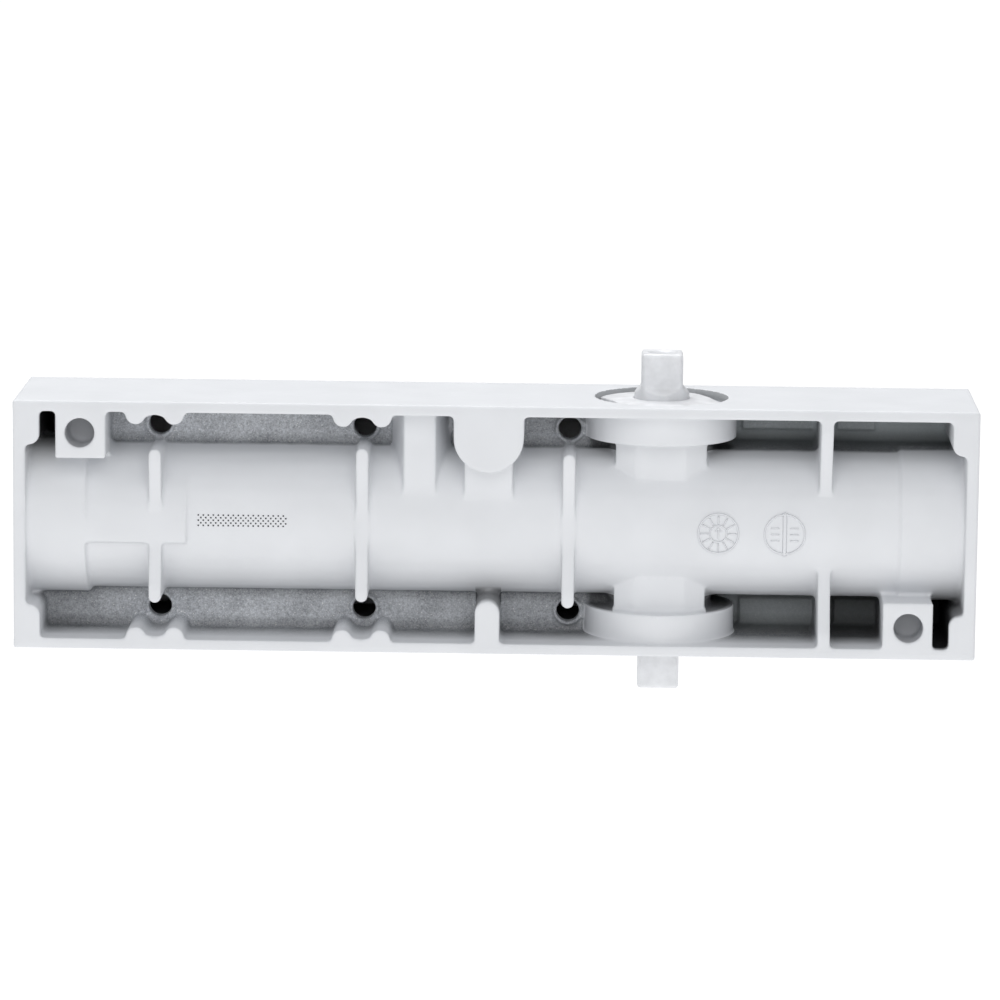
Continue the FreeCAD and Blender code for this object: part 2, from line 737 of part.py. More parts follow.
def square_end(name, sign):
    """A driving square milled on the round shaft, with sloped run-outs and a soft end."""
    centre = ("spindle_x", 0)
    shoulder = "(body_height / 2 + 1.1)"
    span = mirrored(shoulder, "spindle_reach", sign)
    bar = rod(f"{name}_bar", "z", "neck_shaft_radius", span, centre)
    wide = "2 * neck_shaft_radius"
    start = "body_height / 2 + 2.5"
    end = "spindle_reach - 0.6"
    low, high = mirrored(shoulder, start, sign)
    sides = ("square_side", wide) if sign else (wide, "square_side")
    runout = frustum(f"{name}_runout", sides, (low, high))
    low, high = mirrored(start, end, sign)
    square = frustum(f"{name}_square", ("square_side", "square_side"), (low, high))
    low, high = mirrored(end, "spindle_reach", sign)
    small = "square_side - 1.0"
    sides = (small, "square_side") if sign else ("square_side", small)
    chamfer = frustum(f"{name}_chamfer", sides, (low, high))
    return common(f"{name}_end", [bar, fuse(f"{name}_flats", [runout, square, chamfer])])


def pinion_spindle():
    """Shaft with a driving square at each end, two journals and the pinion."""
    shoulder = "(body_height / 2 + 1.1)"
    outline = [
        ("0", f"-{shoulder}"),
        ("neck_shaft_radius", f"-{shoulder}"),
        ("neck_shaft_radius", "-journal_end"),
        ("journal_radius", "-journal_end"),
        ("journal_radius", "journal_end"),
        ("neck_shaft_radius", "journal_end"),
        ("neck_shaft_radius", shoulder),
        ("0", shoulder),
    ]
    parts = [turned("shaft", outline, "z", ("spindle_x", 0))]
    parts.append(shape_item("pinion", pinion_shape()))
    centre = ("spindle_x", 0)
    taps = []
    for name, sign in SIDES.items():
        parts.append(square_end(name, sign))
        hole = mirrored("spindle_reach - 12", "spindle_reach", sign)
        taps.append(rod(f"{name}_tapping", "z", "2.5", hole, centre))
        sink = mirrored("spindle_reach - 0.9", "spindle_reach", sign)
        radii = ("3.35", "2.5") if sign else ("2.5", "3.35")
        taps.append(cone(f"{name}_sink", "z", radii, sink, centre))
    blank = fuse("spindle_blank", parts)
    node("pinion_spindle", cut("spindle", blank, taps))


# ---------------------------------------------------------------- piston


def rack_shape():
    """Straight-sided rack, in mesh with the pinion at rest."""
    pitch = pitch_radius()
    module = size("gear_module")
    step = math.pi * module
    slope = math.tan(PRESSURE_ANGLE)
    tip_y = pitch - RACK_ADDENDUM
    root_y = pitch + module + TIP_CLEARANCE
    half_tooth = step / 4 - BACKLASH / 2
    half_tip = half_tooth - RACK_ADDENDUM * slope
    half_root = half_tooth + (root_y - pitch) * slope
    first = size("window_left")
    last = size("window_right")
    back_y = size("window_half") + 1.0
    points = [Vector(first, back_y, 0), Vector(first, root_y, 0)]
    centre = size("spindle_x") - step / 2
    centre -= step * math.floor((centre - half_root - first) / step)
    while centre + half_root < last:
        for shift, y in (
            (-half_root, root_y),
            (-half_tip, tip_y),
            (half_tip, tip_y),
            (half_root, root_y),
        ):
            points.append(Vector(centre + shift, y, 0))
        centre += step
    points += [Vector(last, root_y, 0), Vector(last, back_y, 0)]
    points.append(points[0])
    half = size("gear_half") + 0.1
    rack = Part.Face(Part.makePolygon(points)).extrude(Vector(0, 0, 2 * half))
    rack.translate(Vector(0, 0, -half))
    return rack


def piston():
    """Round piston with a pinion window, a rack on the window's room side and two valves."""
    blank = rod("piston_blank", "x", "piston_radius", ("piston_left", "piston_right"))
    window = box(
        "piston_window",
        ("window_left", "window_right"),
        ("-window_half", "window_half"),
        ("-piston_radius - 1", "piston_radius + 1"),
    )
    valve = "piston_valve_bore"
    cuts = [
        window,
        rod("relief_bore", "x", valve, ("piston_left", "piston_left + 12")),
        rod("relief_port", "x", "1.5", ("piston_left", "window_left + 1")),
        rod("check_bore", "x", valve, ("piston_right - 10", "piston_right")),
        rod("check_port", "x", "1.5", ("window_right - 1", "piston_right")),
    ]
    hollow = cut("piston_cut", blank, cuts)
    rack = shape_item("rack", rack_shape())
    node("piston", fuse("piston_rack", [hollow, rack]))


def piston_valves():
    """One-way valve in the pinion-side head and relief valve in the spring-side head."""
    sleeve = "piston_valve_bore - 0.02"
    outer = "piston_right - 0.5"
    seat = ring("check_seat", "x", ("1.6", sleeve), ("piston_right - 4.5", outer))
    node("check_valve_seat", seat)
    ball = doc.addObject("Part::Sphere", "check_ball")
    ball.Radius = 2.2
    bind(ball, "Placement.Base.x", "piston_right - 6.2")
    node("check_valve_ball", ball)
    pin = rod("check_pin", "z", "0.5", ("-3.6", "3.6"), ("piston_right - 9.4", 0))
    node("check_valve_pin", pin)
    inner = "piston_left + 0.5"
    seat = ring("relief_seat", "x", ("1.6", sleeve), (inner, "piston_left + 3.5"))
    node("relief_valve_seat", seat)
    ball = doc.addObject("Part::Sphere", "relief_ball")
    ball.Radius = 2.0
    bind(ball, "Placement.Base.x", "piston_left + 5.0")
    node("relief_valve_ball", ball)
    spring = coil("relief_coil", 1.7, 0.5, 3, 4.4)
    bind(spring, "Placement.Base.x", "piston_left + 6.8")
    node("relief_valve_spring", spring)


def coil(name, radius, wire, turns, height):
    """A helical spring along +X from its own origin."""
    helix = Part.makeHelix(height / turns, height, radius)
    start = Vector(radius, 0, 0)
    ring_edge = Part.Edge(Part.Circle(start, Vector(0, 1, 0), wire))
    sweep = Part.Wire(helix.Edges).makePipeShell([Part.Wire([ring_edge])], True, True)
    item = shape_item(name, sweep)
    item.Placement = FreeCAD.Placement(Vector(), ROTATIONS["x"])
    return item


# ---------------------------------------------------------------- spring and adjuster


def main_spring():
    """Compression spring between the spring seat and the piston."""
    wire = size("wire_radius")
    gap = 0.1
    height = size("piston_left - seat_right") - 2 * (wire + gap)
    spring = coil("spring_coil", size("coil_radius"), wire, size("coil_count"), height)
    bind(spring, "Placement.Base.x", f"seat_right + wire_radius + {gap}")
    node("main_spring", spring)


def spring_adjuster():
    """Screw through the left plug that draws the spring seat along."""
    seat = ring(
        "seat_disc", "x", ("screw_radius + 0.06", "seat_radius"), ("seat_left", "seat_right")
    )
    spigot = ring(
        "seat_spigot", "x", ("screw_radius + 0.06", "9.3"), ("seat_left", "seat_right + 6")
    )
    node("spring_seat", fuse("seat", [seat, spigot]))
    collar_start = "-plug_inner + 1.3"
    outline = [
        ("0", "-plug_outer + 1"),
        ("screw_radius", "-plug_outer + 1"),
        ("screw_radius", collar_start),
        ("7", collar_start),
        ("7", f"{collar_start} + 3"),
        ("screw_radius", f"{collar_start} + 3"),
        ("screw_radius", "seat_right + 20"),
        ("0", "seat_right + 20"),
    ]
    shank = turned("adjuster_shank", outline, "x")
    socket = prism("adjuster_socket", "x", "5", ("-plug_outer + 1", "-plug_outer + 5"))
    groove = ring("adjuster_groove", "x", ("2.9", "screw_radius + 1"), ("-107.2", "-105"))
    node("adjusting_screw", cut("adjuster", shank, [socket, groove]))
    node("adjusting_screw_seal", torus("adjuster_ring", "x", "3.95 - 0.9 + 0.4", "0.55", "-106.1"))
    washer = ring(
        "adjuster_washer", "x", ("screw_radius + 0.2", "7"), ("-plug_inner + 0.05", "-plug_inner + 1.2")
    )
    node("adjusting_thrust_washer", washer)


# ---------------------------------------------------------------- end plugs


def end_plug(side, flip, through_radius, pockets=()):
    """Threaded plug with an O-ring groove, four spanner holes and a centre hole."""
    radius = "plug_radius - 0.02"
    low, high = mirrored("plug_inner", "plug_outer", flip)
    groove_low, groove_high = mirrored("plug_inner + 2", "plug_inner + 4.6", flip)
    outline = [
        (through_radius, low),
        (radius, low),
        (radius, groove_low),
        ("plug_radius - 2.1", groove_low),
        ("plug_radius - 2.1", groove_high),
        (radius, groove_high),
        (radius, high),
        (through_radius, high),
    ]
    blank = turned(f"{side}_plug_blank", outline, "x")
    holes = [
        rod(
            f"{side}_spanner_{index}",
            "x",
            "1.6",
            mirrored("plug_outer - 3.5", "plug_outer", flip),
            (f"11 * cos({90 * index + 45})", f"11 * sin({90 * index + 45})"),
        )
        for index in range(4)
    ]
    node(f"{side}_end_plug", cut(f"{side}_plug", blank, holes + list(pockets)))
    centre = "-(plug_inner + 3.3)" if flip else "plug_inner + 3.3"
    seal = torus(f"{side}_plug_ring", "x", "plug_radius - 1.1", "1.0", centre)
    node(f"{side}_plug_seal", seal)


def filler_screw():
    """Short screw and washer that close the oil filling hole of the right plug."""
    outline = [
        ("0", "plug_inner + 3"),
        ("2.98", "plug_inner + 3"),
        ("2.98", "plug_outer - 3"),
        ("5", "plug_outer - 3"),
        ("5", "plug_outer + 0.5"),
        ("0", "plug_outer + 0.5"),
    ]
    blank = turned("filler_blank", outline, "x")
    socket = prism("filler_socket", "x", "4", ("plug_outer - 1.8", "plug_outer + 0.5"))
    node("filler_screw", cut("filler", blank, [socket]))
    washer = ring("filler_ring", "x", ("3.02", "5.4"), ("plug_outer - 4", "plug_outer - 3"))
    node("filler_washer", washer)


def end_plugs():
    """Left plug with the adjusting screw through it, right plug with the filler screw."""
    end_plug("left", "-", "screw_radius + 0.05")
    pocket = rod("filler_pocket", "x", "5.5", ("plug_outer - 4", "plug_outer"))
    end_plug("right", "", "3", [pocket])


# ---------------------------------------------------------------- spindle bearings


def needle_ring(name, sign):
    """Needle rollers evenly spaced round the journal."""
    rollers = []
    count = 18
    pitch = size("journal_radius") + 1.04
    for index in range(count):
        angle = 360 * index / count
        centre = (f"spindle_x + {pitch} * cos({angle})", f"{pitch} * sin({angle})")
        roller = rod(f"{name}_roller_{index}", "z", "1", mirrored("10.6", "19.9", sign), centre)
        rollers.append(roller)
    return group(f"{name}_rollers", rollers)


def spindle_support(name, sign):
    """Thrust washer, needle bearing, seal and bearing nut at one end of the spindle."""
    centre = ("spindle_x", 0)
    washer = mirrored("gear_half + 0.3", "9.6", sign)
    washer_radii = ("journal_radius + 0.1", "hub_bore - 0.15")
    thrust = ring(f"{name}_washer", "z", washer_radii, washer, centre)
    node(f"{name}_thrust_washer", thrust)
    cup_radii = ("journal_radius + 2.08", "hub_bore - 0.02")
    cup = ring(f"{name}_cup", "z", cup_radii, mirrored("10", "20.5", sign), centre)
    node(f"{name}_bearing_cup", cup)
    node(f"{name}_needle_rollers", needle_ring(name, sign))
    seal_radii = ("neck_shaft_radius + 0.05", "hub_bore - 0.05")
    seal = ring(f"{name}_lip", "z", seal_radii, mirrored("20.8", "nut_seat - 0.1", sign), centre)
    node(f"{name}_spindle_seal", seal)
    mouth = "neck_shaft_radius + 0.1"
    outline = [
        (mouth, f"{sign}nut_seat"),
        ("nut_radius - 0.02", f"{sign}nut_seat"),
        ("nut_radius - 0.02", f"{sign}nut_face"),
        (f"{mouth} + 1", f"{sign}nut_crown"),
        (mouth, f"{sign}nut_crown"),
    ]
    blank = turned(f"{name}_nut_blank", outline, "z", centre)
    flat_depth = mirrored("nut_face - nut_flat_depth", "nut_face + 1", sign)
    flats = [
        box(f"{name}_flat_{side}", across, ("-nut_radius", "nut_radius"), flat_depth)
        for side, across in (
            ("left", ("spindle_x - nut_radius", "spindle_x - nut_flat")),
            ("right", ("spindle_x + nut_flat", "spindle_x + nut_radius")),
        )
    ]
    nut = cut(f"{name}_nut", blank, flats)
    nut.Placement = FreeCAD.Placement(Vector(), FreeCAD.Rotation(Vector(0, 0, 1), size("nut_turn")))
    bind(nut, "Placement.Base.x", "spindle_x * (1 - cos(nut_turn))")
    bind(nut, "Placement.Base.y", "-spindle_x * sin(nut_turn)")
    node(f"{name}_bearing_nut", nut)


# ---------------------------------------------------------------- regulating valves


def valve_screw(name, x):
    """Regulating screw: threaded head with a hex socket, sealed stem and tapered tip."""
    centre = (x, "valve_row")
    stem = "valve_bore - 0.1"
    outline = [
        ("0", "valve_floor + 0.6"),
        ("0.7", "valve_floor + 0.6"),
        ("1.9", "valve_floor + 7"),
        ("1.9", "4"),
        (stem, "4"),
        (stem, "6"),
        ("2.5", "6"),
        ("2.5", "8"),
        (stem, "8"),
        (stem, "15.5"),
        ("0", "15.5"),
    ]
    blank = turned(f"{name}_valve_blank", outline, "y", centre)
    socket = prism(f"{name}_valve_socket", "y", "3", ("12.5", "15.5"), centre)
    node(f"{name}_valve_screw", cut(f"{name}_valve", blank, [socket]))
    seal = torus(f"{name}_valve_ring", "y", "3", "0.48", "7", centre)
    node(f"{name}_valve_seal", seal)
    low, high = "15.7", "16.5"
    return ring(f"{name}_retainer", "y", ("2.4", "valve_bore - 0.02"), (low, high), centre)


def valves():
    retainers = [valve_screw("closing", "column_x"), valve_screw("latching", "pad_x")]
    node("valve_retaining_rings", group("retainers", retainers))


# ---------------------------------------------------------------- build and export


def check_document():
    """Stop on any failed feature or bad sub-part shape."""
    for item in doc.Objects:
        bad = {"Invalid", "Error"} & set(item.State)
        if bad:
            raise RuntimeError(f"{item.Name} is {bad}")
    for label, item in NODES.items():
        if item.Shape.isNull() or not item.Shape.isValid() or item.Shape.Volume <= 0:
            raise RuntimeError(f"{label} has no valid solid")


def export_nodes():
    os.makedirs("parts", exist_ok=True)
    for label, item in NODES.items():
        item.Shape.exportStep(f"parts/{label}.step")
        solids = len(item.Shape.Solids)
        print(f"{label}: {solids} solid(s), {item.Shape.Volume / 1000:.2f} cm3")


body_casting()
front_cover()
pinion_spindle()
piston()
piston_valves()
main_spring()
spring_adjuster()
end_plugs()
filler_screw()
for side_name, side_sign in SIDES.items():
    spindle_support(side_name, side_sign)
valves()
doc.recompute()
check_document()
export_nodes()
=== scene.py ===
import json
import math

import bpy
import numpy as np
import openvdb
from mathutils import Matrix, Vector


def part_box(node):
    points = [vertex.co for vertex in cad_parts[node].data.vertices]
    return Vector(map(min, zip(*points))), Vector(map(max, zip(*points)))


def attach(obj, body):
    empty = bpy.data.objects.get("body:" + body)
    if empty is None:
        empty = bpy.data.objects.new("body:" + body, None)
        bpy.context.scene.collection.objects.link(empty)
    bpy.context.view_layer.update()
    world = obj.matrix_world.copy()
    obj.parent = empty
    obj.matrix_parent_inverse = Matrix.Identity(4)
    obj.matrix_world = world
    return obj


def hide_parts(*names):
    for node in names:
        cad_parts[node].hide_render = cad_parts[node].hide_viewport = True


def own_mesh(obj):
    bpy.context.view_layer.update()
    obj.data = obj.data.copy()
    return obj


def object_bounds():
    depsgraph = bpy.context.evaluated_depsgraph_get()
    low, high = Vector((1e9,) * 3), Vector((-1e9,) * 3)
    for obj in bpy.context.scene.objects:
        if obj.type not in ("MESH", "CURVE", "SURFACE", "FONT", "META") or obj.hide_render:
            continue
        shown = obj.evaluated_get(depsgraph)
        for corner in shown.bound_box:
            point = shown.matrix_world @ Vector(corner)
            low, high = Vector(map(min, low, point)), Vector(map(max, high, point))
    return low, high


# Looks for a door closer body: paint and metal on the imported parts, cast fillets on the
# housing, a wound spring, and mould marks. Lengths are metres unless a name says mm.

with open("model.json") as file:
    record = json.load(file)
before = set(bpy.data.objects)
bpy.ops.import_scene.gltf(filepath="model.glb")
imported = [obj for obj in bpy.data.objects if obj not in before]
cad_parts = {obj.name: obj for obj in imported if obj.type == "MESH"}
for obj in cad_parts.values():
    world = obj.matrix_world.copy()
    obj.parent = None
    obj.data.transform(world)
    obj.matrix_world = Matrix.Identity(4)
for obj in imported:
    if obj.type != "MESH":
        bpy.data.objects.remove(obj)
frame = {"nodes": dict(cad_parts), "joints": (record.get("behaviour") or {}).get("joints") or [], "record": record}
cad_low, cad_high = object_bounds()

MM = 0.001

# ---------------------------------------------------------------- places on the part

casting_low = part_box("body_casting")[0]
spindle_low, spindle_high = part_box("pinion_spindle")
cover_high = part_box("front_cover")[1]
spring_low, spring_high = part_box("main_spring")
SPINDLE_X = (spindle_low.x + spindle_high.x) / 2
REAR_Y = casting_low.y
# insides of the outer walls, a cover gap outside the cover's edge
COVER_GAP = 0.25 * MM
INNER_X = cover_high.x + COVER_GAP
INNER_Z = cover_high.z + COVER_GAP
# cylinder tube, and the floors of the shallow and the deep pockets
TUBE_RADIUS = 18 * MM
WEB_Y = -2.0 * MM
FLOOR_Y = 11.5 * MM
# fixing holes, locating holes and lugs
HOLE_ROW = 22.3 * MM
LUG_HOLE_X = 99.0 * MM
LUG_OUTER = 104.85 * MM
LUG_HOLE_RADIUS = 3.5 * MM
# bearing nut, its recess, the hub flange and the neck under it
NUT_FACE = 29.0 * MM
RECESS_RADIUS = 16.0 * MM
DRUM_RADIUS = 18.15 * MM
DRUM_FACE = 20.4 * MM
NECK_HALF = 11.2 * MM
NECK_BACK = -9.5 * MM
# wall between the deep pockets, closing valve column and lower tab
RIB_WALL_X = 78.85 * MM
COLUMN_X = -18.15 * MM
COLUMN_HALF = 7.3 * MM
TAB_X = -1.6 * MM
TAB_HALF = 3.1 * MM
TAB_TOP = -16.9 * MM
# where the shade behind a flange starts to fade, and that of the slots by the lugs
GAP_INNER = 16.5 * MM
SLOT_FADE = 16.8 * MM
SLOT_END = 20.5 * MM
# main spring and what pushes its ends
COIL_RADIUS = 12.2 * MM
SPRING_TURNS = 9.5
SLIDES = {joint["name"]: joint["range_m"] for joint in frame["joints"] if joint.get("range_m")}
PISTON_STROKE = max(abs(limit) for limit in SLIDES["piston_slide"])
SEAT_STROKE = max(abs(limit) for limit in SLIDES["seat_slide"])

# ---------------------------------------------------------------- material graphs


class Graph:
    """A node material under construction."""

    def __init__(self, name, colour, roughness, metallic=0.0):
        self.material = bpy.data.materials.new(name)
        self.material.use_nodes = True
        self.tree = self.material.node_tree
        self.shader = self.tree.nodes["Principled BSDF"]
        self.shader.inputs["Base Color"].default_value = (*colour, 1)
        self.shader.inputs["Roughness"].default_value = roughness
        self.shader.inputs["Metallic"].default_value = metallic
        coordinates = self.tree.nodes.new("ShaderNodeTexCoord")
        self.place = coordinates.outputs["Object"]

    def put(self, socket, value):
        """Link an output to a socket, or set the socket's plain value."""
        if isinstance(value, bpy.types.NodeSocket):
            self.tree.links.new(value, socket)
        else:
            socket.default_value = value

    def add(self, kind, inputs, **settings):
        """A new node with its settings and its inputs, by name or by index."""
        item = self.tree.nodes.new(f"ShaderNode{kind}")
        for key, value in settings.items():
            setattr(item, key, value)
        for key, value in inputs.items():
            self.put(item.inputs[key], value)
        return item

    def math(self, operation, *values, clamp=False):
        item = self.add("Math", dict(enumerate(values)), operation=operation, use_clamp=clamp)
        return item.outputs[0]

    def product(self, first, *others):
        for other in others:
            first = self.math("MULTIPLY", first, other)
        return first

    def mean(self, first, second, share):
        """The first value moved towards the second by a share."""
        inputs = {0: share, 2: first, 3: second}
        return self.add("Mix", inputs, data_type="FLOAT").outputs[0]

    def above(self, value, limit):
        """1 where value is above limit, else 0."""
        return self.math("GREATER_THAN", value, limit)

    def below(self, value, limit):
        """1 where value is below limit, else 0."""
        return self.math("LESS_THAN", value, limit)

    def radius(self, across, up):
        """Distance from the origin of two coordinates."""
        squares = self.math("ADD", self.math("POWER", across, 2.0), self.math("POWER", up, 2.0))
        return self.math("SQRT", squares)

    def noise(self, scale, detail=2.0, roughness=0.5):
        """Noise from 0 to 1, with scale in features per metre."""
        inputs = {
            "Vector": self.place,
            "Scale": scale,
            "Detail": detail,
            "Roughness": roughness,
        }
        return self.add("TexNoise", inputs).outputs["Fac"]

    def spread(self, value, low, high, new_low, new_high):
        """Map low..high to new_low..new_high, held at the ends."""
        inputs = {0: value, 1: low, 2: high, 3: new_low, 4: new_high}
        return self.add("MapRange", inputs).outputs[0]

    def tint(self, factor, dark, light):
        """A colour between two, by factor."""
        inputs = {0: factor, 6: (*dark, 1), 7: (*light, 1)}
        return self.add("Mix", inputs, data_type="RGBA").outputs[2]

    def blend(self, factor, first, second):
        """A colour between two varying colours, by factor."""
        inputs = {0: factor, 6: first, 7: second}
        return self.add("Mix", inputs, data_type="RGBA").outputs[2]

    def axes(self):
        """The surface point's x, y and z."""
        return self.add("SeparateXYZ", {0: self.place}).outputs

    def bump(self, height, distance, strength=1.0, normal=None):
        inputs = {"Height": height, "Distance": distance, "Strength": strength}
        if normal:
            inputs["Normal"] = normal
        return self.add("Bump", inputs).outputs["Normal"]

    def finish(self, colour=None, roughness=None, normal=None):
        """Feed the shader whatever varies over the surface."""
        for name, value in (("Base Color", colour), ("Roughness", roughness), ("Normal", normal)):
            if value is not None:
                self.put(self.shader.inputs[name], value)
        return self.material


PAINT_LIGHT = (0.71, 0.723, 0.746)
PAINT_DARK = (0.675, 0.688, 0.71)
BARE_DARK = (0.27, 0.28, 0.30)
BARE_LIGHT = (0.60, 0.62, 0.65)
BARE_FLECK = (0.92, 0.92, 0.88)
DEEP = (0.42, 0.45, 0.46)
HOLE_GREY = (0.50, 0.51, 0.53)
RECESS_WALL = (0.31, 0.32, 0.33)
UNLIT = (0.012, 0.012, 0.014)
# How much earlier the bare casting starts on pocket walls than beside the tube; partly painted shade in the wall
# corners.
BARE_AND_SHADE_LEAD = 11 * MM


def powder_paint(graph):
    """Colour, roughness and surface normal of a satin powder coat with orange peel."""
    tone = graph.noise(70, 3)
    colour = graph.tint(graph.spread(tone, 0.3, 0.7, 0, 1), PAINT_DARK, PAINT_LIGHT)
    gloss = graph.spread(graph.noise(500, 2), 0.3, 0.7, 0.50, 0.60)
    peel = graph.bump(graph.noise(650, 2), 0.02 * MM, 0.5)
    grain = graph.bump(graph.noise(4200, 2), 0.006 * MM, 0.5, peel)
    return colour, gloss, grain


def cover_paint():
    graph = Graph("cover_paint", PAINT_LIGHT, 0.4)
    return graph.finish(*powder_paint(graph))


def bare_casting_and_shade(graph, x, y, z):
    """Colour and relief of the unpainted casting in the pockets.

    It is grainy with bright flecks, with a plainer tone in the deep pockets. Painted light and shade lie over it:
    lighter towards the left end and away from the tube in the deep pockets, painted shade in its corners, beside
    the tube and in the narrow pocket past the rib wall.
    """
    side = graph.math("ABSOLUTE", z)
    grit = graph.noise(2400, 2, 0.6)
    pits = graph.noise(1000, 3, 0.6)
    speck = graph.mean(grit, pits, 0.45)
    shade = graph.mean(speck, graph.noise(140, 2), 0.25)
    colour = graph.tint(graph.spread(shade, 0.38, 0.62, 0, 1), BARE_DARK, BARE_LIGHT)
    fleck = graph.spread(graph.noise(3000, 1), 0.64, 0.72, 0, 0.8)
    colour = graph.blend(fleck, colour, (*BARE_FLECK, 1))
    deep = graph.spread(y, WEB_Y + 2 * MM, FLOOR_Y, 0, 1)
    colour = graph.blend(graph.math("MULTIPLY", deep, 0.9), colour, (*DEEP, 1))

    # Painted light and shade: lighter towards the left end, painted shade beside the tube and in the wall corners,
    # painted light away from the tube in the deep pockets.
    along = graph.product(
        graph.spread(x, -104 * MM, -84 * MM, 0.75, 1.2),
        graph.spread(x, -80 * MM, 20 * MM, 1.0, 0.7),
    )
    tube_side_shade = graph.spread(side, TUBE_RADIUS - 0.3 * MM, TUBE_RADIUS + 2.6 * MM, 0.55, 1.0)
    wall_corner_shade = graph.spread(side, INNER_Z - 3 * MM, INNER_Z - 0.4 * MM, 1.0, 0.5)
    deep_pocket_light_and_shade = graph.mean(
        graph.spread(side, TUBE_RADIUS, TUBE_RADIUS + 4.5 * MM, 0.75, 1.3),
        graph.spread(z, TUBE_RADIUS - 0.5 * MM, TUBE_RADIUS + 3.5 * MM, 0.9, 2.1),
        graph.above(z, 0.0),
    )
    level = graph.product(along, tube_side_shade, wall_corner_shade, graph.mean(1.0, deep_pocket_light_and_shade, deep))
    # Painted shade in the narrow lower pocket past the rib wall.
    narrow_pocket_shade = graph.product(graph.above(x, RIB_WALL_X), graph.below(z, 0.0))
    level = graph.product(level, graph.mean(1.0, 0.45, narrow_pocket_shade))
    colour = graph.add("VectorMath", {0: colour, "Scale": level}, operation="SCALE").outputs[0]
    return colour, speck


def casting_paint():
    """Paint outside and on high parts; bare, grainy casting where the pockets are deep, with painted light and
    shade over it; near-black painted shade in the flange gaps, behind the tab, in the lug slots and through the
    web's holes.
    """
    graph = Graph("casting_paint", PAINT_LIGHT, 0.4)
    colour, gloss, normal = powder_paint(graph)
    x, y, z = graph.axes()
    across = graph.math("ABSOLUTE", x)
    side = graph.math("ABSOLUTE", z)
    from_spindle = graph.radius(graph.math("SUBTRACT", x, SPINDLE_X), y)
    under_drum = graph.below(from_spindle, DRUM_RADIUS + 0.3 * MM)
    on_drum = graph.product(under_drum, graph.above(side, DRUM_FACE + 0.1 * MM))
    from_column = graph.math("ABSOLUTE", graph.math("SUBTRACT", x, COLUMN_X))
    on_column = graph.product(graph.below(from_column, COLUMN_HALF), graph.above(z, 0.0))
    on_column = graph.product(on_column, graph.below(y, WEB_Y - 0.8 * MM))
    painted = graph.math("MAXIMUM", on_drum, on_column)
    inside = graph.product(graph.below(across, INNER_X), graph.below(side, INNER_Z))

    # The paint thins out early on pocket walls, and only near the floor beside the tube. The bare band's early
    # rise up the pocket walls is partly real thin paint and partly painted shade in the wall corners.
    beside = graph.spread(side, TUBE_RADIUS + 0.3 * MM, TUBE_RADIUS + 2.5 * MM, 0, 1)
    lead = graph.math("MULTIPLY", beside, BARE_AND_SHADE_LEAD)
    wander = graph.math("MULTIPLY", graph.noise(250, 2), 1.2 * MM)
    depth = graph.math("ADD", graph.math("ADD", y, lead), wander)
    reach = graph.math("ADD", graph.math("MULTIPLY", beside, BARE_AND_SHADE_LEAD - 2 * MM), 1.6 * MM)
    first = graph.math("SUBTRACT", WEB_Y, 1.6 * MM)
    thinning_and_shade = graph.math("DIVIDE", graph.math("SUBTRACT", depth, first), reach, clamp=True)
    bare = graph.product(thinning_and_shade, inside, graph.math("SUBTRACT", 1.0, painted))

    bare_and_shade_colour, speck = bare_casting_and_shade(graph, x, y, z)
    rough = graph.bump(speck, 0.10 * MM, 0.8, normal)

    # Painted shade, near black: the gap behind each hub flange and the back of the tab.
    colour = graph.blend(bare, colour, bare_and_shade_colour)
    from_axis = graph.math("ABSOLUTE", graph.math("SUBTRACT", x, SPINDLE_X))
    on_neck = graph.product(graph.below(from_axis, NECK_HALF), graph.below(y, NECK_BACK))
    gap = graph.product(
        graph.spread(from_spindle, GAP_INNER, DRUM_RADIUS - 0.2 * MM, 1, 0),
        graph.above(side, TUBE_RADIUS - 0.3 * MM),
        graph.below(side, DRUM_FACE + 0.1 * MM),
        graph.math("SUBTRACT", 1.0, on_neck),
        0.75,
    )
    from_tab = graph.math("ABSOLUTE", graph.math("SUBTRACT", x, TAB_X))
    tab_shadow = graph.product(
        graph.below(from_tab, TAB_HALF),
        graph.spread(z, TAB_TOP, TAB_TOP + 1.5 * MM, 1, 0),
        graph.below(side, DRUM_FACE),
        graph.spread(y, REAR_Y + 0.5 * MM, REAR_Y + 5 * MM, 0, 0.7),
    )
    colour = graph.blend(graph.math("MAXIMUM", gap, tab_shadow), colour, (*UNLIT, 1))

    # Painted shade, near black: the core seen through the web's holes, and the slots beside the two lugs.
    core = graph.product(graph.above(y, 0.2 * MM), graph.below(x, SPINDLE_X), inside)
    colour = graph.blend(core, colour, (*UNLIT, 1))
    diagonal = graph.below(graph.math("MULTIPLY", x, z), 0.0)
    sunk = graph.spread(y, REAR_Y + 0.4 * MM, REAR_Y + 3 * MM, 0, 1)
    beyond_lug = graph.above(across, LUG_OUTER - 0.1 * MM)
    past_foot = graph.spread(side, SLOT_FADE, SLOT_END, 0, 1)
    slot_shade = graph.product(diagonal, sunk, beyond_lug, past_foot, inside)
    colour = graph.blend(slot_shade, colour, (*UNLIT, 1))

    # Darker grey: the recess round each bearing nut and the two locating holes.
    recess = graph.product(
        graph.below(from_spindle, RECESS_RADIUS + 0.12 * MM), graph.above(side, NUT_FACE - 1 * MM)
    )
    colour = graph.blend(recess, colour, (*RECESS_WALL, 1))
    for sign in (-1, 1):
        from_hole = graph.radius(
            graph.math("SUBTRACT", x, sign * LUG_HOLE_X), graph.math("ADD", z, sign * HOLE_ROW)
        )
        hole = graph.below(from_hole, LUG_HOLE_RADIUS + 0.1 * MM)
        drilled = graph.product(hole, graph.above(y, REAR_Y + 0.5 * MM))
        colour = graph.blend(drilled, colour, (*HOLE_GREY, 1))
    return graph.finish(
        colour,
        graph.blend(bare, gloss, (0.7, 0.7, 0.7, 1)),
        graph.add("Mix", {0: bare, 4: normal, 5: rough}, data_type="VECTOR").outputs[1],
    )


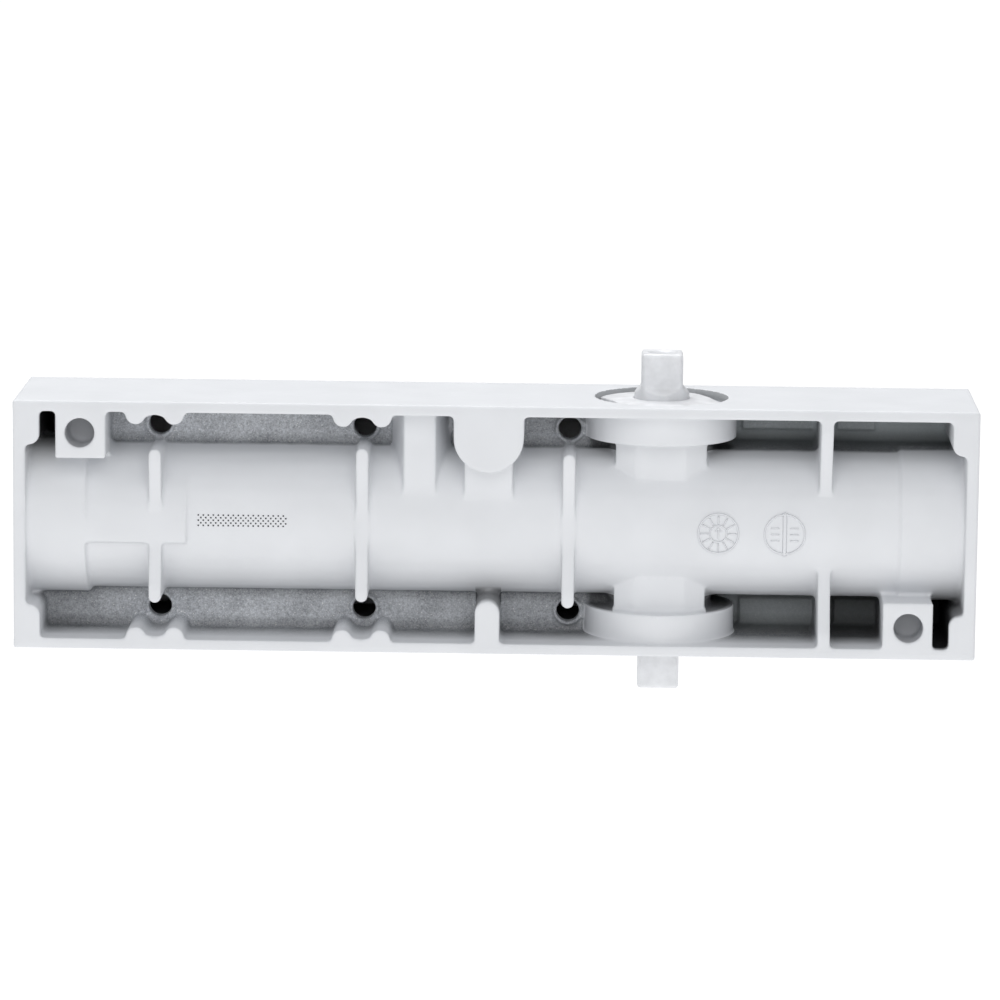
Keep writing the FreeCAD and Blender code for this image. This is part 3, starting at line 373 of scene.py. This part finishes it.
def turned_metal(name, colour, axis, centre, ring_mm=0.35, roughness=0.32, metallic=1.0):
    """Metal with fine lathe rings about an axis through centre."""
    graph = Graph(name, colour, roughness, metallic)
    split = graph.axes()
    first, second = [index for index in range(3) if index != "xyz".index(axis)]
    from_first = graph.math("SUBTRACT", split[first], centre[0])
    from_second = graph.math("SUBTRACT", split[second], centre[1])
    radius = graph.radius(from_first, from_second)
    along = graph.math("ADD", radius, split["xyz".index(axis)])
    wave = graph.math("SINE", graph.math("MULTIPLY", along, 2 * math.pi / (ring_mm * MM)))
    rings = graph.bump(wave, 0.004 * MM, 0.6)
    smudge = graph.noise(300, 4)
    light = tuple(min(1.0, channel * 1.06) for channel in colour)
    dark = tuple(channel * 0.9 for channel in colour)
    return graph.finish(
        graph.tint(graph.spread(smudge, 0.3, 0.7, 0, 1), dark, light),
        graph.spread(smudge, 0.3, 0.7, roughness - 0.06, roughness + 0.1),
        graph.bump(graph.noise(3000, 2), 0.003 * MM, 0.4, rings),
    )


def plain_metal(name, colour, roughness, scratch=2500):
    """Metal with a fine directionless grain and uneven shine."""
    graph = Graph(name, colour, roughness, metallic=1.0)
    smudge = graph.noise(260, 4)
    dark = tuple(channel * 0.86 for channel in colour)
    return graph.finish(
        graph.tint(graph.spread(smudge, 0.3, 0.7, 0, 1), dark, colour),
        graph.spread(smudge, 0.3, 0.7, roughness - 0.05, roughness + 0.1),
        graph.bump(graph.noise(scratch, 3), 0.004 * MM, 0.5),
    )


def soft_material(name, colour, roughness):
    """Rubber or moulded plastic with a matt skin."""
    graph = Graph(name, colour, roughness)
    cloud = graph.noise(400, 3)
    light = tuple(min(1.0, channel * 1.5 + 0.004) for channel in colour)
    return graph.finish(
        graph.tint(graph.spread(cloud, 0.3, 0.7, 0, 1), colour, light),
        graph.spread(cloud, 0.3, 0.7, roughness - 0.06, roughness + 0.06),
        graph.bump(graph.noise(5000, 2), 0.006 * MM, 0.5),
    )


SPINDLE_CENTRE = (SPINDLE_X, 0.0)
CYLINDER_CENTRE = (0.0, 0.0)
MATERIALS = {
    "casting_paint": casting_paint(),
    "cover_paint": cover_paint(),
    "spindle_steel": turned_metal(
        "spindle_steel", (0.74, 0.75, 0.77), "z", SPINDLE_CENTRE, 0.35, 0.45, 0.1
    ),
    "nut_metal": turned_metal("nut_metal", (0.80, 0.81, 0.83), "z", SPINDLE_CENTRE, 0.5, 0.4, 0.2),
    "plug_metal": turned_metal("plug_metal", (0.74, 0.75, 0.77), "x", CYLINDER_CENTRE, 0.5),
    "piston_steel": turned_metal("piston_steel", (0.55, 0.56, 0.58), "x", CYLINDER_CENTRE, 0.25),
    "spring_steel": plain_metal("spring_steel", (0.30, 0.31, 0.33), 0.4),
    "bearing_steel": plain_metal("bearing_steel", (0.72, 0.73, 0.75), 0.14),
    "screw_steel": plain_metal("screw_steel", (0.62, 0.62, 0.60), 0.3),
    "valve_brass": plain_metal("valve_brass", (0.75, 0.58, 0.30), 0.28),
    "seal_rubber": soft_material("seal_rubber", (0.012, 0.012, 0.013), 0.55),
    "bush_plastic": soft_material("bush_plastic", (0.05, 0.05, 0.055), 0.45),
    "batch_ink": soft_material("batch_ink", (0.045, 0.045, 0.05), 0.6),
}

NODE_SLOTS = {part["node"]: part["material_slot"] for part in frame["record"]["subparts"]}

# ---------------------------------------------------------------- mesh helpers


def new_piece(name, points, faces, slot, body):
    """A smooth mesh piece that rides on a body and takes the finish of a slot."""
    mesh = bpy.data.meshes.new(name)
    mesh.from_pydata([tuple(point) for point in points], [], faces)
    mesh.validate()
    mesh.update()
    mesh.polygons.foreach_set("use_smooth", [True] * len(mesh.polygons))
    piece = bpy.data.objects.new(name, mesh)
    bpy.context.scene.collection.objects.link(piece)
    mesh.materials.append(MATERIALS[slot])
    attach(piece, body)
    return piece


def surface_of(node):
    """A CAD node's points in millimetres and its triangles."""
    mesh = frame["nodes"][node].data
    mesh.calc_loop_triangles()
    points = np.empty(len(mesh.vertices) * 3, np.float32)
    mesh.vertices.foreach_get("co", points)
    triangles = np.empty(len(mesh.loop_triangles) * 3, np.int32)
    mesh.loop_triangles.foreach_get("vertices", triangles)
    return points.reshape(-1, 3) / MM, triangles.reshape(-1, 3).astype(np.uint32)


def offset_surface(points, triangles, quads, distance, voxel, adaptivity):
    """The surface moved outward by a distance, measured on a level set."""
    band = abs(distance) / voxel + 3
    grid = openvdb.FloatGrid.createLevelSetFromPolygons(
        points,
        triangles=triangles,
        quads=quads,
        transform=openvdb.createLinearTransform(voxelSize=voxel),
        halfWidth=band,
    )
    return grid.convertToPolygons(isovalue=distance, adaptivity=adaptivity)


def soften(node, name, slot, body, voxel, fillet, edge):
    """A copy of a node with cast fillets in its corners and rounded edges.

    Growing then shrinking fills inner corners to the fillet's radius; shrinking then
    growing rounds outer edges to the edge's radius. All sizes are in millimetres.
    """
    points, triangles = surface_of(node)
    low = points.min(axis=0)
    high = points.max(axis=0)
    quads = np.empty((0, 4), np.uint32)
    for distance, adaptivity in ((fillet, 0.004), (-fillet - edge, 0.004), (edge, 0.02)):
        points, triangles, quads = offset_surface(
            points, triangles, quads, distance, voxel, adaptivity
        )
    points = np.clip(points, low, high) * MM
    faces = quads.tolist() + triangles.tolist()
    piece = new_piece(name, points.tolist(), faces, slot, body)
    weighted = piece.modifiers.new("face_normals", "WEIGHTED_NORMAL")
    weighted.mode = "FACE_AREA"
    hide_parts(node)
    return piece


# ---------------------------------------------------------------- marks on the tube


def on_tube(across, around, height):
    """A point over the tube's rear crown: x, distance round the tube, height above it."""
    radius = TUBE_RADIUS + height
    angle = around / TUBE_RADIUS
    return (across, -radius * math.cos(angle), radius * math.sin(angle))


class Relief:
    """Ridges laid over the tube, gathered as one mesh."""

    def __init__(self):
        self.points = []
        self.faces = []

    def ridge(self, path, width, height, closed=False):
        """A ridge with sloped flanks along a path of (across, around) places."""
        profile = ((-0.5, -0.3), (-0.22, 1.0), (0.22, 1.0), (0.5, -0.3))
        count = len(path)
        first = len(self.points)
        for index, place in enumerate(path):
            before = path[index - 1] if index or closed else place
            after = path[(index + 1) % count] if index < count - 1 or closed else place
            ahead = Vector((after[0] - before[0], after[1] - before[1])).normalized()
            for share, rise in profile:
                across = place[0] - ahead.y * share * width
                around = place[1] + ahead.x * share * width
                self.points.append(on_tube(across, around, height * rise))
        size = len(profile)
        for index in range(count if closed else count - 1):
            here = first + index * size
            there = first + (index + 1) % count * size
            for step in range(size):
                turn = (step + 1) % size
                self.faces.append((here + step, there + step, there + turn, here + turn))
        if not closed:
            last = first + (count - 1) * size
            self.faces.append(tuple(range(first, first + size)))
            self.faces.append(tuple(range(last + size - 1, last - 1, -1)))

    def circle(self, centre, radius, width, height, steps=72):
        turns = [2 * math.pi * step / steps for step in range(steps)]
        path = [
            (centre[0] + radius * math.cos(turn), centre[1] + radius * math.sin(turn))
            for turn in turns
        ]
        self.ridge(path, width, height, closed=True)

    def line(self, start, end, width, height, steps=8):
        shares = [step / steps for step in range(steps + 1)]
        path = [
            tuple(low + (high - low) * share for low, high in zip(start, end)) for share in shares
        ]
        self.ridge(path, width, height)

    def piece(self, name, slot):
        return new_piece(name, self.points, self.faces, slot, "housing")


MARK_RADIUS = 4.8 * MM
DIAL_X = 53.35 * MM
BARRED_X = 69.2 * MM
MARK_AROUND = -0.4 * MM


def cast_marks():
    """Two round mould marks: a dial of ticks with a pointer, and a circle with a bar."""
    dial = Relief()
    centre = (DIAL_X, MARK_AROUND)
    dial.circle(centre, MARK_RADIUS, 0.5 * MM, 0.3 * MM)
    dial.circle(centre, MARK_RADIUS * 0.42, 0.4 * MM, 0.2 * MM, 48)
    for hour in range(12):
        turn = math.pi * hour / 6
        ends = [
            (centre[0] + radius * math.cos(turn), centre[1] + radius * math.sin(turn))
            for radius in (MARK_RADIUS * 0.5, MARK_RADIUS * 0.9)
        ]
        dial.line(*ends, 0.42 * MM, 0.18 * MM, 3)
    tail = (centre[0], centre[1] - 1.2 * MM)
    tip = (centre[0], centre[1] + 1.4 * MM)
    dial.line(tail, tip, 0.4 * MM, 0.16 * MM)
    for side in (-1, 1):
        dial.line((tip[0] + side * 0.7 * MM, tip[1] - 0.9 * MM), tip, 0.36 * MM, 0.16 * MM)
    dial.piece("mould_dial_mark", "casting_paint")

    barred = Relief()
    centre = (BARRED_X, MARK_AROUND)
    barred.circle(centre, MARK_RADIUS, 0.5 * MM, 0.3 * MM)
    reach = MARK_RADIUS + 0.5 * MM
    bar = ((centre[0], centre[1] - reach), (centre[0], centre[1] + reach))
    barred.line(*bar, 1.1 * MM, 0.3 * MM, 24)
    for side in (-1, 1):
        for row in (-1, 0, 1):
            inner = (centre[0] + side * 1.3 * MM, centre[1] + row * 1.5 * MM)
            outer = (centre[0] + side * 3.3 * MM, centre[1] + row * 1.5 * MM)
            barred.line(inner, outer, 0.4 * MM, 0.12 * MM, 4)
    barred.piece("mould_barred_mark", "casting_paint")


DOT_START_X = -71.0 * MM
DOT_END_X = -49.5 * MM
DOT_LOW = 0.0
DOT_HIGH = 2.5 * MM


def batch_dots():
    """A batch mark in ink: a chequered band of small dots."""
    stamp = Relief()
    columns = 36
    rows = 5
    dot = 0.36 * MM
    pitch = (DOT_END_X - DOT_START_X) / columns
    rise = (DOT_HIGH - DOT_LOW) / (rows - 1)
    for column in range(columns):
        across = DOT_START_X + column * pitch
        for row in range(column % 2, rows, 2):
            around = DOT_LOW + row * rise
            stamp.line((across, around), (across + dot, around), dot, 0.03 * MM, 1)
    stamp.piece("batch_ink_dots", "batch_ink")


# ---------------------------------------------------------------- main spring


def spring_length(name, rings):
    """One length of the spring, from its still end to the end that a joint pushes."""
    sides = len(rings[0])
    faces = []
    for step in range(len(rings) - 1):
        here = step * sides
        for side in range(sides):
            turn = (side + 1) % sides
            faces.append((here + side, here + turn, here + sides + turn, here + sides + side))
    last = (len(rings) - 1) * sides
    faces.append(tuple(range(sides - 1, -1, -1)))
    faces.append(tuple(range(last, last + sides)))
    points = [point for ring in rings for point in ring]
    piece = new_piece(name, points, faces, "spring_steel", "housing")
    for cap in piece.data.polygons[-2:]:
        cap.use_smooth = False
    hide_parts("main_spring")
    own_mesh(piece)


def wound_spring():
    """The main spring with closed, ground ends, in place of the plain helix.

    The spring seat pushes one end and the piston the other, so it is two lengths. They
    meet where both shorten by the same share of their length.
    """
    wire = (spring_high.z - spring_low.z) / 2 - COIL_RADIUS
    start = spring_low.x + wire
    length = spring_high.x - wire - start
    dead = 1.0
    live = SPRING_TURNS - 2 * dead
    dead_rise = 2 * wire * 1.02
    live_rise = (length - 2 * dead * dead_rise) / live
    steps_per_turn = 36
    steps = int(SPRING_TURNS * steps_per_turn)
    sides = 16
    centres = []
    rings = []
    for step in range(steps + 1):
        turns = step / steps_per_turn
        early = min(turns, dead)
        late = max(turns - dead - live, 0.0)
        middle = turns - early - late
        centre = start + (early + late) * dead_rise + middle * live_rise
        turn = 2 * math.pi * turns
        outward = Vector((0, math.cos(turn), math.sin(turn)))
        ring = []
        for side in range(sides):
            lean = 2 * math.pi * side / sides
            offset = outward * math.cos(lean) + Vector((1, 0, 0)) * math.sin(lean)
            place = Vector((centre, 0, 0)) + outward * COIL_RADIUS + offset * wire
            place.x = min(max(place.x, spring_low.x), spring_high.x)
            ring.append(place)
        centres.append(centre)
        rings.append(ring)
    share = SEAT_STROKE / (SEAT_STROKE + PISTON_STROKE)
    meeting = spring_low.x + share * (spring_high.x - spring_low.x)
    split = min(range(steps + 1), key=lambda step: abs(centres[step] - meeting))
    spring_length("seat_end_spring", rings[: split + 1])
    spring_length("piston_end_spring", rings[split:])


# ---------------------------------------------------------------- pieces

cast_voxel = 0.25
turned_voxel = 0.15
soften(
    "body_casting",
    "housing_casting",
    "casting_paint",
    "housing",
    voxel=cast_voxel,
    fillet=0.65,
    edge=0.28,
)
soften(
    "pinion_spindle",
    "spindle",
    "spindle_steel",
    "spindle",
    voxel=turned_voxel,
    fillet=0.2,
    edge=0.2,
)
for end in ("upper", "lower"):
    soften(
        f"{end}_bearing_nut",
        f"{end}_nut",
        "nut_metal",
        "housing",
        voxel=turned_voxel,
        fillet=0.15,
        edge=0.25,
    )

cast_marks()
batch_dots()
wound_spring()

for name, item in frame["nodes"].items():
    item.data.materials.clear()
    item.data.materials.append(MATERIALS[NODE_SLOTS[name]])

# ---------------------------------------------------------------- stage, light, camera


def stage_floor():
    """A pale floor far below the part, which the camera sees as a plain background."""
    drop = 0.35
    reach = 14.0
    corners = [(-reach, -reach), (reach, -reach), (reach, reach), (-reach, reach)]
    mesh = bpy.data.meshes.new("floor")
    mesh.from_pydata([(x, y + reach / 2, cad_low.z - drop) for x, y in corners], [], [(0, 1, 2, 3)])
    floor = bpy.data.objects.new("floor", mesh)
    bpy.context.scene.collection.objects.link(floor)
    graph = Graph("floor_paint", (0.93, 0.93, 0.93), 0.9)
    graph.shader.inputs["Emission Color"].default_value = (1, 1, 1, 1)
    graph.shader.inputs["Emission Strength"].default_value = 0.9
    mesh.materials.append(graph.finish(graph.tint(graph.noise(2, 2), (0.29,) * 3, (0.31,) * 3)))


def soft_light(name, place, size, watts, target=(0, 0, 0)):
    """A square studio light aimed at a target."""
    light = bpy.data.lights.new(name, "AREA")
    light.shape = "SQUARE"
    light.size = size
    light.energy = watts
    lamp = bpy.data.objects.new(name, light)
    lamp.location = place
    lamp.rotation_euler = (Vector(target) - Vector(place)).to_track_quat("-Z", "Y").to_euler()
    bpy.context.scene.collection.objects.link(lamp)


def studio():
    world = bpy.data.worlds.new("studio")
    bpy.context.scene.world = world
    world.use_nodes = True
    background = world.node_tree.nodes["Background"]
    background.inputs["Color"].default_value = (0.97, 0.98, 1.0, 1)
    background.inputs["Strength"].default_value = 0.44
    soft_light("key", (-0.2, 0.45, 1.5), 1.0, 18.5)
    soft_light("front", (0.0, -1.3, 0.80), 1.3, 9.35)


def camera():
    """The view: almost square to the rear, from a little above, through a long lens."""
    distance = 1.29453
    elevation = math.radians(9.3763)
    turn = math.radians(-1.0007)
    roll = math.radians(-0.6042)
    target = Vector((0.000885, 0, 0.004138))
    ahead = Vector(
        (
            math.sin(turn) * math.cos(elevation),
            math.cos(turn) * math.cos(elevation),
            -math.sin(elevation),
        )
    )
    right = ahead.cross(Vector((0, 0, 1))).normalized()
    up = right.cross(ahead)
    tilted_up = up * math.cos(roll) + right * math.sin(roll)
    tilted_right = ahead.cross(tilted_up)
    lens = bpy.data.cameras.new("camera")
    lens.lens = 192.69
    lens.sensor_width = 36
    lens.clip_end = 60
    view = bpy.data.objects.new("camera", lens)
    place = target - ahead * distance
    axes = Matrix((tilted_right, tilted_up, -ahead)).transposed()
    view.matrix_world = Matrix.Translation(place) @ axes.to_4x4()
    bpy.context.scene.collection.objects.link(view)
    bpy.context.scene.camera = view


stage_floor()
studio()
camera()
bpy.context.scene.view_settings.view_transform = "Standard"
